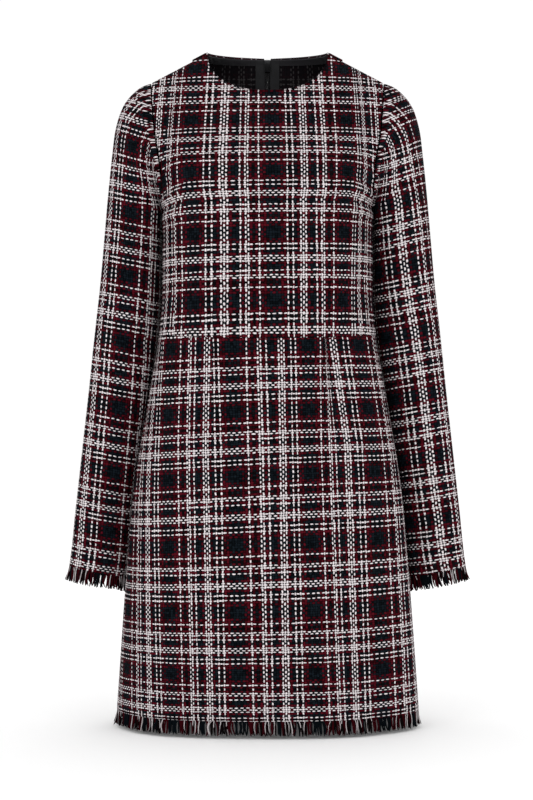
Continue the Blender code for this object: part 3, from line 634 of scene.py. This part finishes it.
# height, and how far round from the outer ridge the grain thread lies there
SLEEVE_GRAIN = {
    "left": ((-0.72, 0.046), (-0.626, 0.0508), (-0.54, 0.0559), (-0.457, 0.0585), (-0.375, 0.065), (-0.285, 0.0743),
             (-0.203, 0.0812), (-0.125, 0.0948), (-0.05, 0.107)),
    "right": ((-0.72, 0.0695), (-0.47, 0.0698), (-0.385, 0.0691), (-0.3, 0.0700), (-0.215, 0.0727), (-0.05, 0.071)),
}
# weft thread; its height at x = 0.19, its slope and its sag
SLEEVE_WEFTS = {
    "left": ((-27.5, -0.004, 0.65, 2.75), (0.5, -0.0941, 0.553, 2.75), (28.5, -0.1822, 0.383, 2.28), (38.5, -0.2128, 0.327, 1.6),
             (56.5, -0.2678, 0.27, 1.0), (66.5, -0.3016, 0.255, 1.0), (84.5, -0.3594, 0.204, 0.67), (94.5, -0.3910, 0.206, 0.3),
             (112.5, -0.4442, 0.192, 0.0), (122.5, -0.4751, 0.19, 0.0), (140.5, -0.5287, 0.175, 0.0), (168.5, -0.6134, 0.15, 0.0),
             (206, -0.7269, 0.15, 0.0)),
    "right": ((61.5, -0.030, 0.55, 2.75), (33.5, -0.1250, 0.42, 2.5), (10.5, -0.1990, 0.262, 2.6), (0.5, -0.2290, 0.252, 1.4),
              (-17.5, -0.2830, 0.217, 0.67), (-27.5, -0.3136, 0.208, 0.3), (-73.5, -0.4593, 0.186, 0.0),
              (-83.5, -0.4921, 0.196, 0.0), (-101.5, -0.5476, 0.188, 0.0), (-111.5, -0.5787, 0.193, 0.0),
              (-134.5, -0.6444, 0.19, 0.0), (-165, -0.735, 0.19, 0.0)),
}


def sleeve_threads(points, side):
    """Thread places: warps by their way round the arm, wefts by the sloping planes they lie in."""
    ring = np.concatenate([points, points[:, :1]], axis=1)
    axis = unit(np.gradient(points.mean(axis=1), axis=0))
    steps = np.diff(ring, axis=1)
    steps -= np.einsum("rck,rk->rc", steps, axis)[..., None] * axis[:, None]
    around = np.concatenate([np.zeros((len(ring), 1)), np.cumsum(np.linalg.norm(steps, axis=-1), axis=1)], axis=1)
    around -= around[:, ARM_COLUMNS // 2, None]
    z = ring[..., 2]
    around -= np.interp(z, *zip(*SLEEVE_GRAIN[side]))
    warp = thread_at(around, *zip(*[(number, place) for number, place in SLEEVE_WARPS[side]]))
    across = ring[..., 0] - 0.19
    wefts = SLEEVE_WEFTS[side][::-1]
    weft = thread_at(z, [w[0] for w in wefts], [w[1] + w[2] * across + w[3] * across**2 for w in wefts])
    return np.stack([warp, weft], axis=-1)


# on the left sleeve; the right one bears its own
SLEEVE_CREASES = {
    "left": ((0.165, -0.215, 35, 0.020, 0.0050, 0.0016), (0.170, -0.236, 30, 0.022, 0.0055, -0.0016),
             (0.180, -0.372, 18, 0.030, 0.0080, 0.0018), (0.176, -0.395, 12, 0.028, 0.0070, -0.0018),
             (0.186, -0.418, 8, 0.030, 0.0080, 0.0014), (0.200, -0.520, 160, 0.030, 0.0100, 0.0012),
             (0.175, -0.100, 78, 0.020, 0.0040, -0.0012), (0.188, -0.092, 70, 0.018, 0.0045, 0.0012)),
    "right": ((0.163, -0.222, 42, 0.020, 0.0050, 0.0018), (0.168, -0.243, 36, 0.022, 0.0055, -0.0018),
              (0.182, -0.360, 24, 0.030, 0.0080, 0.0016), (0.178, -0.384, 16, 0.028, 0.0070, -0.0018),
              (0.190, -0.408, 10, 0.030, 0.0080, 0.0015), (0.205, -0.500, 156, 0.030, 0.0100, 0.0012),
              (0.172, -0.106, 80, 0.020, 0.0040, -0.0013), (0.184, -0.096, 72, 0.018, 0.0045, 0.0012)),
}


def sleeve_panel(side, hand):
    turn, station = np.meshgrid(180 + np.arange(ARM_COLUMNS) * 360 / ARM_COLUMNS, STATIONS)
    points = sleeve_skin(turn, station)
    place = sleeve_threads(points, side)
    clear = np.clip((points[..., 0] - 0.150) / 0.012, 0, 1)[..., None] * (station[..., None] > 0.03)
    points = mix(points, crease(points, grid_normals(points, True), SLEEVE_CREASES[side]), clear)
    points[0] += unit(points[1] - points[0]) * (0.0012 + CLOTH * 0.12)
    points[-1] += unit(points[-2] - points[-1]) * (SEAM_GAP / 2 + CLOTH * 0.12)
    if hand < 0:
        points = (points * (-1, 1, 1))[:, np.r_[0, ARM_COLUMNS - 1:0:-1]]
        place = place[:, ::-1]
    made = sew_wall(f"sleeve_{side}_cloth", points, grid_normals(points, True), place, (TWEED, NEAR_BLACK_WRONG_SIDE), closed=True)
    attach(made, "dress")
    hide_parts(f"sleeve_{side}")


sleeve_panel("left", 1)
sleeve_panel("right", -1)


# The hem's and cuffs' fringes. The last wefts are pulled out, so the warp yarns hang loose.

FRAYED = bpy.data.materials.new("frayed yarn")
FRAYED.use_nodes = True


def make_frayed():
    tree = FRAYED.node_tree
    shader = tree.nodes["Principled BSDF"]
    shader.inputs["Roughness"].default_value = 0.95
    shader.inputs["Specular IOR Level"].default_value = 0.02
    cut = tree.nodes.new("ShaderNodeUVMap")
    cut.uv_map = "cut"
    parts = tree.nodes.new("ShaderNodeSeparateXYZ")
    tree.links.new(cut.outputs[0], parts.inputs[0])
    yarn = stripe_colour(tree, reckon(tree, "FLOOR", parts.outputs[0]))
    twist = reckon(tree, "SINE", reckon(tree, "MULTIPLY", parts.outputs[1], 16))
    # Painted shade: the loose yarns are darkened to 0.6 to 0.76 of their yarn's colour, lighter and darker in turn
    # along their twist.
    painted_fringe_shade = reckon(tree, "MULTIPLY_ADD", twist, 0.08, 0.68)
    grey = tree.nodes.new("ShaderNodeCombineColor")
    for socket in grey.inputs[:3]:
        tree.links.new(painted_fringe_shade, socket)
    tree.links.new(blend_colours(tree, 1.0, yarn, grey.outputs[0], "MULTIPLY"), shader.inputs["Base Color"])
    bump = tree.nodes.new("ShaderNodeBump")
    bump.inputs["Distance"].default_value = 0.0002
    tree.links.new(twist, bump.inputs["Height"])
    tree.links.new(bump.outputs[0], shader.inputs["Normal"])


make_frayed()


WHITE_WARPS = (0, 10, 12, 15, 16, 17, 21, 23, 24)
BLACK_WARP = 26


def fringe(name, replaced, roots, outward, down, numbers, length, seed):
    """Loose yarns at the roots, each a bent tapering tube in its own thread's colour."""
    luck = np.random.default_rng(seed)
    count, sides, steps = len(roots), 5, 5
    t = np.linspace(0, 1, steps + 1)
    across = unit(np.cross(outward, down))
    lean = luck.normal(0.05, 0.07, count)
    curl = luck.normal(0, 0.07, count)
    kick = luck.normal(0.03, 0.10, count)
    reach = length * luck.uniform(0.90, 1.03, count)
    size = np.where(np.isin(numbers % REPEAT, WHITE_WARPS), 0.0007, 0.0012)
    path = (roots[:, None] + down[:, None] * (reach[:, None] * t)[..., None]
            + across[:, None] * (reach[:, None] * (lean[:, None] * t + curl[:, None] * np.sin(t * pi)))[..., None]
            + outward[:, None] * (reach[:, None] * kick[:, None] * t**2)[..., None])
    width = size[:, None] * np.array([1, 1.05, 1.05, 1, 0.9, 0.5])
    turn = 2 * pi * np.arange(sides) / sides
    rim = (across[:, None, None] * np.cos(turn)[None, None, :, None] + outward[:, None, None] * np.sin(turn)[None, None, :, None])
    vertices = (path[:, :, None] + rim * width[:, :, None, None]).reshape(-1, 3)
    base = (np.arange(count) * (steps + 1) * sides)[:, None, None]
    ring, side = np.meshgrid(np.arange(steps), np.arange(sides), indexing="ij")
    a, b = ring * sides + side, ring * sides + (side + 1) % sides
    quads = (base[..., None] + np.stack([a, a + sides, b + sides, b], axis=-1)).reshape(-1, 4)
    ends = [list(range(i, i + sides)) for i in (base[:, 0, 0])]
    ends += [list(range(i + steps * sides, i + (steps + 1) * sides))[::-1] for i in base[:, 0, 0]]
    mesh = bpy.data.meshes.new(name)
    mesh.from_pydata(vertices.tolist(), [], quads.tolist() + ends)
    per_vertex = np.stack(np.broadcast_arrays(numbers[:, None, None] + 0.5, (reach[:, None] * t / 0.003)[..., None] + np.zeros(sides)), axis=-1)
    per_vertex = per_vertex.reshape(-1, 2)
    corners = np.empty(len(mesh.loops), np.int32)
    mesh.loops.foreach_get("vertex_index", corners)
    mesh.uv_layers.new(name="cut").data.foreach_set("uv", per_vertex[corners].reshape(-1).astype(np.float32))
    mesh.materials.append(FRAYED)
    mesh.shade_smooth()
    mesh.update()
    made = bpy.data.objects.new(name, mesh)
    bpy.context.collection.objects.link(made)
    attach(made, "dress")
    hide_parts(replaced)
    return made


def hem_fringe(name, replaced, angles, face, threads, seed):
    fine = np.linspace(angles[0], angles[-1], 400)
    angle, level = np.meshgrid(fine, np.array([-1.0, -0.99]))
    edge = body_skin(angle, level, face)
    normal = grid_normals(edge)[0]
    warp = threads(edge)[0, :, 0]
    order = np.argsort(warp)
    every = np.arange(int(np.ceil(warp.min())), int(np.floor(warp.max())))
    white = every[np.isin(every % REPEAT, WHITE_WARPS)]
    # Every warp has two strands. At a white warp both are in the black yarn and hang behind its one white strand, so
    # the gaps between strands look dark.
    dark = np.repeat(np.where(np.isin(every % REPEAT, WHITE_WARPS), BLACK_WARP, every), 2)
    numbers = np.concatenate([dark, white])
    at = np.concatenate([np.repeat(every, 2) + np.tile([0.25, 0.75], len(every)), white + 0.5])
    sunk = np.where(np.arange(len(at)) < len(dark), 0.0016, 0.0009)[:, None]
    root = np.stack([np.interp(at, warp[order], edge[0][order, k]) for k in range(3)], axis=-1)
    out = unit(np.stack([np.interp(at, warp[order], normal[order, k]) for k in range(3)], axis=-1))
    below = np.stack([np.interp(at, warp[order], unit(edge[0] - edge[1])[order, k]) for k in range(3)], axis=-1)
    return fringe(name, replaced, root - out * sunk - unit(below) * 0.0008, out, unit(below), numbers, 0.0190, seed)


hem_fringe("hem_yarns_front", "hem_fringe_front", (-89.8, 89.8), -1, front_skirt_threads, 1)
for side, hand in (("left", 1), ("right", -1)):
    hem_fringe(f"hem_yarns_back_{side}", f"hem_fringe_back_{side}", (BACK_ANGLES[side][1], BACK_ANGLES[side][-2]), 1,
               back_threads(hand, 6, SKIRT_WEFT), 3 + hand)


# the warp thread on the outer ridge
CUFF_START = {"left": 28, "right": 24}


def cuff_fringe(side, hand, seed):
    count = 150
    turn, station = np.meshgrid(np.arange(count) * 360 / count + 1, (0.99, 1.0))
    edge = sleeve_skin(turn, station)
    out = grid_normals(edge, True)[1]
    down = unit(edge[1] - edge[0])
    if hand < 0:
        edge, out, down = edge * (-1, 1, 1), out * (-1, 1, 1), down * (-1, 1, 1)
    numbers = CUFF_START[side] - np.arange(count) // 2
    white = np.isin(numbers % REPEAT, WHITE_WARPS)
    order = np.concatenate([np.arange(count), np.arange(count)[white & (np.arange(count) % 2 == 0)]])
    sunk = np.where(np.arange(len(order)) < count, 0.0016, 0.0009)[:, None]
    # At a white warp both its strands are in the black yarn, and one white strand hangs in front of them, so the gaps
    # between strands look dark.
    numbers = np.where((np.arange(len(order)) < count) & white[order], BLACK_WARP, numbers[order])
    root = edge[1][order] - out[order] * sunk - down[order] * 0.0008
    fringe(f"cuff_yarns_{side}", f"cuff_fringe_{side}", root, out[order], down[order], numbers, 0.0200, seed)


cuff_fringe("left", 1, 7)
cuff_fringe("right", -1, 8)


# What lies on the inside of the back: a charcoal twill tape along the neck, the zip's black
# tapes and nylon coil, and its enamelled slider and drop pull.

def plain_finish(name, colour, roughness, scale, relief, metallic=0.0):
    made = bpy.data.materials.new(name)
    made.use_nodes = True
    tree = made.node_tree
    shader = tree.nodes["Principled BSDF"]
    shader.inputs["Roughness"].default_value = roughness
    shader.inputs["Metallic"].default_value = metallic
    place = tree.nodes.new("ShaderNodeTexCoord")
    grain = tree.nodes.new("ShaderNodeTexNoise")
    grain.inputs["Scale"].default_value = scale
    tree.links.new(place.outputs["Object"], grain.inputs["Vector"])
    shade = blend_colours(tree, grain.outputs["Fac"], tuple(c * 0.7 for c in colour), tuple(c * 1.35 for c in colour))
    tree.links.new(shade, shader.inputs["Base Color"])
    bump = tree.nodes.new("ShaderNodeBump")
    bump.inputs["Distance"].default_value = relief
    tree.links.new(grain.outputs["Fac"], bump.inputs["Height"])
    tree.links.new(bump.outputs[0], shader.inputs["Normal"])
    return made


NECK_TWILL = plain_finish("charcoal twill tape", (0.015, 0.014, 0.017), 0.85, 900, 0.0002)
ZIP_TWILL = plain_finish("black zip tape", (0.017, 0.017, 0.019), 0.8, 900, 0.0002)
NYLON = plain_finish("black nylon", (0.020, 0.020, 0.022), 0.4, 300, 0.0001)
ENAMEL = plain_finish("black enamel", (0.034, 0.034, 0.037), 0.3, 200, 0.00003, 0.6)
for node, finish in (("neck_tape_left", NECK_TWILL), ("neck_tape_right", NECK_TWILL), ("zip_tape_left", ZIP_TWILL),
                     ("zip_tape_right", ZIP_TWILL)):
    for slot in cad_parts[node].material_slots:
        slot.material = finish


# The zip's coil. Two rows of wound nylon, sewn to the tapes' edges and closed into each other.

COIL_PITCH, COIL_TURN, COIL_RISE, COIL_YARN = 0.0016, 0.0015, 0.00075, 0.00036
COIL_TOP, COIL_FOOT = -0.0165, -0.546
COIL_STEPS, COIL_SIDES = 8, 5


def zip_line():
    """Points down the inside of the back's centre line, with the way down and the way in."""
    level = np.linspace(2, -1, 1500)
    line = body_skin(180, level, 1) * (0, 1, 1)
    line = line[(line[:, 2] < COIL_TOP) & (line[:, 2] > COIL_FOOT)]
    run = np.concatenate([[0], np.cumsum(np.linalg.norm(np.diff(line, axis=0), axis=-1))])
    return line, run


def zip_coil():
    line, run = zip_line()
    at = np.arange(0, run[-1], COIL_PITCH / COIL_STEPS)
    centre = np.stack([np.interp(at, run, line[:, k]) for k in range(3)], axis=-1)
    down = unit(np.gradient(centre, axis=0))
    inward = unit(np.cross(down, (1, 0, 0)))
    inward *= -np.sign(inward[:, 1:2])
    parts = []
    for hand in (1, -1):
        turn = 2 * pi * np.arange(len(at)) / COIL_STEPS + (0 if hand > 0 else pi)
        path = centre + inward * (CLOTH + 0.0005 + COIL_RISE + COIL_YARN + COIL_RISE * np.sin(turn))[:, None]
        path[:, 0] += hand * (COIL_TURN - 0.0002 + COIL_TURN * np.cos(turn))
        along = unit(np.gradient(path, axis=0))
        first = unit(np.cross(along, down))
        second = np.cross(along, first)
        angle = 2 * pi * np.arange(COIL_SIDES) / COIL_SIDES
        parts.append(path[:, None] + COIL_YARN * (first[:, None] * np.cos(angle)[None, :, None]
                                                  + second[:, None] * np.sin(angle)[None, :, None]))
    rows = len(at)
    ring, side = np.meshgrid(np.arange(rows - 1), np.arange(COIL_SIDES), indexing="ij")
    a, b = ring * COIL_SIDES + side, ring * COIL_SIDES + (side + 1) % COIL_SIDES
    quads = np.stack([a, b, b + COIL_SIDES, a + COIL_SIDES], axis=-1).reshape(-1, 4)
    faces = quads.tolist() + (quads + rows * COIL_SIDES).tolist()
    for start in (0, rows * COIL_SIDES):
        last = start + (rows - 1) * COIL_SIDES
        faces += [list(range(start, start + COIL_SIDES))[::-1], list(range(last, last + COIL_SIDES))]
    mesh = bpy.data.meshes.new("zip_coil_rows")
    mesh.from_pydata(np.concatenate(parts).reshape(-1, 3).tolist(), [], faces)
    mesh.materials.append(NYLON)
    mesh.shade_smooth()
    mesh.update()
    made = bpy.data.objects.new("zip_coil_rows", mesh)
    bpy.context.collection.objects.link(made)
    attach(made, "dress")
    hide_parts("zip_coil")


zip_coil()


# The slider and its pull. Both are cast, with their edges rounded, and enamelled black. The pull
# hangs by its own bar in the slider's eye.

SLIDER_CROWN, SLIDER_RISE = 0.004, 0.0022


def rounded(name, node, body, width, rise=0.0):
    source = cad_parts[node]
    mesh = source.data.copy()
    mesh.name = name
    mesh.transform(source.matrix_world)
    top = max(vertex.co.z for vertex in mesh.vertices)
    for vertex in mesh.vertices:
        if vertex.co.z > top - SLIDER_CROWN:
            vertex.co.z += rise
            vertex.co.x *= 1 - rise / SLIDER_CROWN * 0.6
    made = bpy.data.objects.new(name, mesh)
    bpy.context.collection.objects.link(made)
    bpy.ops.object.select_all(action="DESELECT")
    bpy.context.view_layer.objects.active = made
    made.select_set(True)
    bpy.ops.object.mode_set(mode="EDIT")
    bpy.ops.mesh.select_all(action="SELECT")
    bpy.ops.mesh.remove_doubles(threshold=0.00001)
    bpy.ops.mesh.dissolve_limited(angle_limit=radians(1))
    bpy.ops.object.mode_set(mode="OBJECT")
    edge = made.modifiers.new("rounded edges", "BEVEL")
    edge.width, edge.segments, edge.limit_method, edge.angle_limit = width, 2, "ANGLE", radians(35)
    bpy.ops.object.modifier_apply(modifier=edge.name)
    mesh.materials.clear()
    mesh.materials.append(ENAMEL)
    mesh.polygons.foreach_set("material_index", np.zeros(len(mesh.polygons), int))
    mesh.shade_smooth()
    mesh.set_sharp_from_angle(angle=radians(40))
    made.select_set(False)
    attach(made, body)
    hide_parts(node)


rounded("slider_body", "zip_slider", "dress", 0.0003, SLIDER_RISE)
rounded("slider_pull", "zip_pull", "zip_pull", 0.00025)


# The camera, the light and the floor.

camera_data = bpy.data.cameras.new("camera")
camera = bpy.data.objects.new("camera", camera_data)
bpy.context.collection.objects.link(camera)
camera.location = (-0.0013, -3.1, -0.464)
camera.rotation_euler = (pi / 2, 0, 0)
camera_data.lens, camera_data.sensor_width = 104.6, 36
bpy.context.scene.camera = camera

bpy.ops.mesh.primitive_plane_add(size=60, location=(0, 0, -0.8975))
floor = bpy.context.object
floor.name = "floor"
paper = bpy.data.materials.new("pale paper")
paper.use_nodes = True
paper.node_tree.nodes["Principled BSDF"].inputs["Base Color"].default_value = (0.96, 0.96, 0.96, 1)
paper.node_tree.nodes["Principled BSDF"].inputs["Roughness"].default_value = 0.9
paper.node_tree.nodes["Principled BSDF"].inputs["Emission Color"].default_value = (1, 1, 1, 1)
paper.node_tree.nodes["Principled BSDF"].inputs["Emission Strength"].default_value = 0.06
floor.data.materials.append(paper)


def softbox(name, place, aim, size, power):
    data = bpy.data.lights.new(name, "AREA")
    data.shape, data.size, data.energy = "SQUARE", size, power
    lamp = bpy.data.objects.new(name, data)
    bpy.context.collection.objects.link(lamp)
    lamp.location = place
    lamp.rotation_euler = (Vector(aim) - Vector(place)).to_track_quat("-Z", "Y").to_euler()


softbox("key", (-1.6, -3.0, 0.7), (0, 0, -0.5), 1.8, 14)
softbox("fill", (2.0, -2.8, 0.4), (0, 0, -0.5), 2.0, 6)
softbox("behind", (0.8, 3.0, 0.8), (0, 0, -0.4), 2.0, 10)
world = bpy.data.worlds.new("studio")
world.use_nodes = True
world.node_tree.nodes["Background"].inputs[0].default_value = (1, 1, 1, 1)
world.node_tree.nodes["Background"].inputs[1].default_value = 1.02
bpy.context.scene.world = world
bpy.context.scene.view_settings.view_transform = "Standard"
